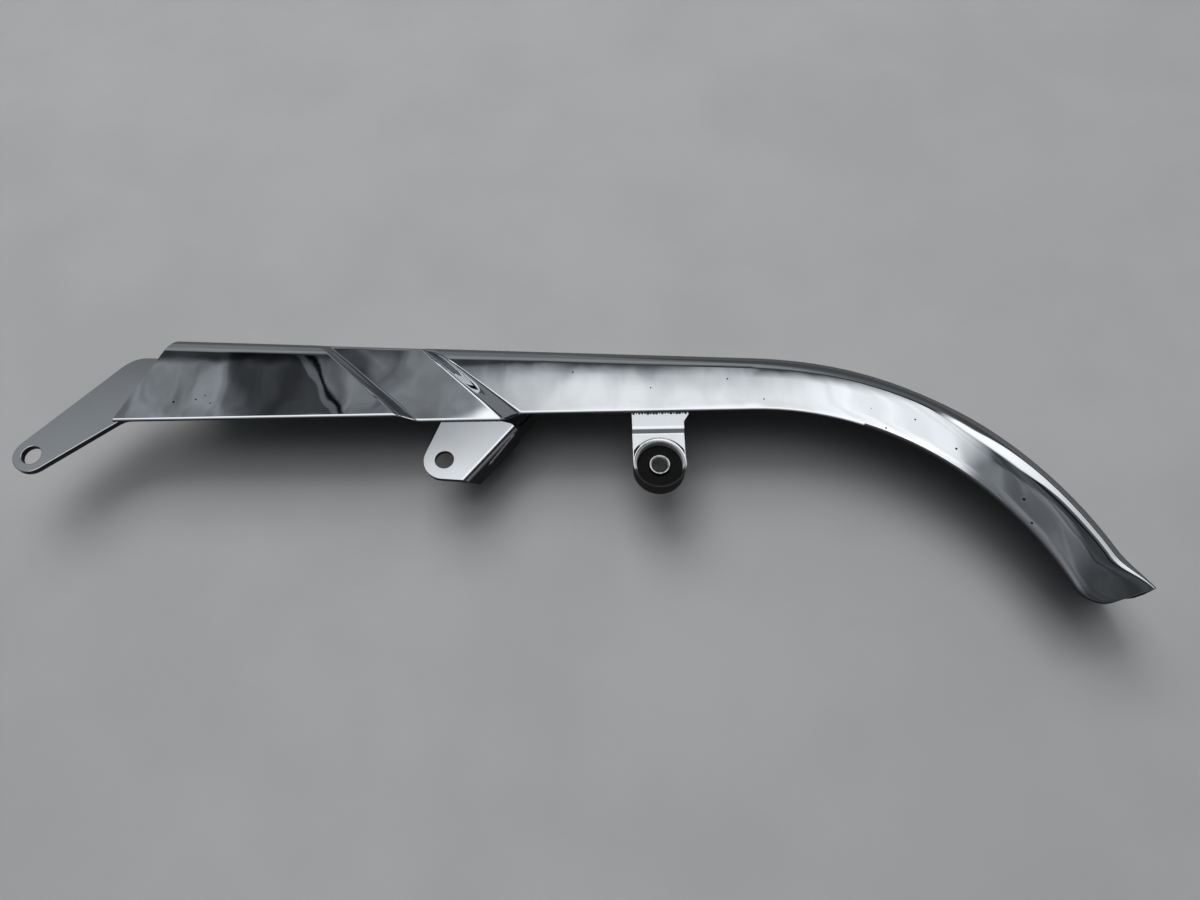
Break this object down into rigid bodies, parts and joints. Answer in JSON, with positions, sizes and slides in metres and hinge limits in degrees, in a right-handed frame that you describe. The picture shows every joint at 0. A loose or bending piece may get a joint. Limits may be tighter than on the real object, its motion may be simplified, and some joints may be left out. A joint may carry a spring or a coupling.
{
  "type": "motorcycle belt guard",
  "caption": "Chromed upper belt guard: stamped shell with stepped middle panel and curved tail, welded plate brackets and a rubber-bushed mount.",
  "frame": {"origin": "on the axis of the front bolt hole, halfway through the arm plate", "axes": "+X along the straight lower edge towards the tail, +Y across the guard to its top flange, +Z out of the outer face; the part lies with its face up on the rim of the flange"},
  "size_m": [0.4979, 0.1401, 0.04],
  "materials": {
    "chrome": "bright plated steel, lightly pitted",
    "rubber": "matt black moulded",
    "sleeve_steel": "turned, slightly tarnished"
  },
  "bodies": {
    "root": {"guard_shell": "chrome", "front_arm": "chrome", "mid_bracket": "chrome", "rear_bracket": "chrome", "grommet": "rubber", "sleeve": "sleeve_steel"}
  },
  "joints": []
}
